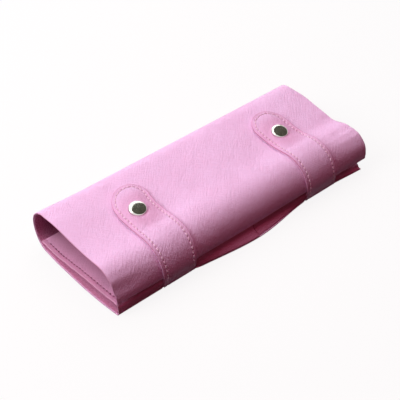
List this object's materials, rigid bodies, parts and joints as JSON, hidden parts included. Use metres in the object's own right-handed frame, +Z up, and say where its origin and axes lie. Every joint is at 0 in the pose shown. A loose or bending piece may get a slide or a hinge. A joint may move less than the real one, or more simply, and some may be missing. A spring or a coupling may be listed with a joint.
{
  "type": "watch roll",
  "caption": "Soft leather watch roll lying closed: flat base, rounded spine, cover with front flap, inner flaps, and straps that come up the front and close on top with press studs.",
  "frame": {"origin": "middle of the underside of the closed roll, on the surface it lies on", "axes": "+X along the roll's length, +Y from the front with the straps to the rounded spine, +Z up"},
  "size_m": [0.2686, 0.1174, 0.0425],
  "materials": {
    "outer_leather": "pink leather with a fine cross-hatched emboss and a satin gloss",
    "strap_leather": "the same embossed leather, stitched in its own colour near the edges",
    "inner_leather": "the same leather on the inner side, where it lies in shade",
    "lining": "soft rose microfibre with a short nap",
    "snap_nickel": "polished nickel domed caps",
    "snap_steel": "plain pressed steel inside the snaps"
  },
  "bodies": {
    "base": {"base_panel": "outer_leather", "base_lining": "lining", "front_lip_left": "inner_leather", "front_lip_right": "inner_leather"},
    "spine": {"spine_panel": "outer_leather", "spine_lining": "lining"},
    "cover": {"cover_panel": "outer_leather", "cover_lining": "lining", "snap_stud_left": "snap_steel", "snap_stud_right": "snap_steel", "stud_post_left": "snap_steel", "stud_post_right": "snap_steel"},
    "front_flap": {"front_flap_panel": "outer_leather", "front_flap_lining": "lining"},
    "inner_flap_left": {"inner_flap_left_face": "inner_leather", "inner_flap_left_lining": "lining"},
    "inner_flap_right": {"inner_flap_right_face": "inner_leather", "inner_flap_right_lining": "lining"},
    "strap_left_lower": {"strap_left_lower_face": "strap_leather", "strap_left_lower_backing": "strap_leather"},
    "strap_left_upper": {"strap_left_upper_face": "strap_leather", "strap_left_upper_backing": "strap_leather"},
    "strap_left_tab": {"strap_left_tab_face": "strap_leather", "strap_left_tab_backing": "strap_leather", "snap_cap_left": "snap_nickel", "snap_socket_left": "snap_steel"},
    "strap_right_lower": {"strap_right_lower_face": "strap_leather", "strap_right_lower_backing": "strap_leather"},
    "strap_right_upper": {"strap_right_upper_face": "strap_leather", "strap_right_upper_backing": "strap_leather"},
    "strap_right_tab": {"strap_right_tab_face": "strap_leather", "strap_right_tab_backing": "strap_leather", "snap_cap_right": "snap_nickel", "snap_socket_right": "snap_steel"}
  },
  "joints": [
    {"name": "cover_open", "type": "hinge", "parent": "base", "child": "spine", "pos_m": [0, 0.05333, 0.00542], "axis": [-1, 0, 0], "range_deg": [0, 30]},
    {"name": "cover_fold", "type": "hinge", "parent": "spine", "child": "cover", "pos_m": [0, 0.05333, 0.03158], "axis": [-1, 0, 0], "range_deg": [0, 30]},
    {"name": "flap_unroll", "type": "hinge", "parent": "cover", "child": "front_flap", "pos_m": [0, -0.04075, 0.03065], "axis": [-1, 0, 0], "range_deg": [0, 39]},
    {"name": "inner_flap_left_lift", "type": "hinge", "parent": "base", "child": "inner_flap_left", "pos_m": [0, -0.05175, 0.006], "axis": [1, 0, 0], "range_deg": [0, 30]},
    {"name": "inner_flap_right_lift", "type": "hinge", "parent": "base", "child": "inner_flap_right", "pos_m": [0, -0.05175, 0.0045], "axis": [1, 0, 0], "range_deg": [0, 30]},
    {"name": "strap_left_fold", "type": "hinge", "parent": "base", "child": "strap_left_lower", "pos_m": [-0.073, -0.05425, 0], "axis": [1, 0, 0], "range_deg": [0, 84], "deforming": ["strap_left_lower_face", "strap_left_lower_backing"]},
    {"name": "strap_left_bend", "type": "hinge", "parent": "strap_left_lower", "child": "strap_left_upper", "pos_m": [-0.073, -0.04707, 0.02892], "axis": [1, 0, 0], "range_deg": [0, 81], "deforming": ["strap_left_upper_face", "strap_left_upper_backing"]},
    {"name": "unsnap_left", "type": "hinge", "parent": "strap_left_upper", "child": "strap_left_tab", "pos_m": [-0.073, -0.01025, 0.03805], "axis": [1, 0, 0], "range_deg": [0, 30]},
    {"name": "strap_right_fold", "type": "hinge", "parent": "base", "child": "strap_right_lower", "pos_m": [0.0802, -0.05425, 0], "axis": [1, 0, 0], "range_deg": [0, 84], "deforming": ["strap_right_lower_face", "strap_right_lower_backing"]},
    {"name": "strap_right_bend", "type": "hinge", "parent": "strap_right_lower", "child": "strap_right_upper", "pos_m": [0.0802, -0.04707, 0.02892], "axis": [1, 0, 0], "range_deg": [0, 81], "deforming": ["strap_right_upper_face", "strap_right_upper_backing"]},
    {"name": "unsnap_right", "type": "hinge", "parent": "strap_right_upper", "child": "strap_right_tab", "pos_m": [0.0802, -0.01025, 0.03614], "axis": [1, 0, 0], "range_deg": [0, 30]}
  ],
  "couplings": [
    {"joint": "cover_fold", "follows": "cover_open", "ratio": 1},
    {"joint": "flap_unroll", "follows": "cover_open", "ratio": 1.3},
    {"joint": "inner_flap_left_lift", "follows": "cover_open", "ratio": 1},
    {"joint": "inner_flap_right_lift", "follows": "cover_open", "ratio": 1},
    {"joint": "strap_left_fold", "follows": "cover_open", "ratio": 2.8},
    {"joint": "strap_left_bend", "follows": "cover_open", "ratio": 2.7},
    {"joint": "strap_right_fold", "follows": "cover_open", "ratio": 2.8},
    {"joint": "strap_right_bend", "follows": "cover_open", "ratio": 2.7}
  ]
}
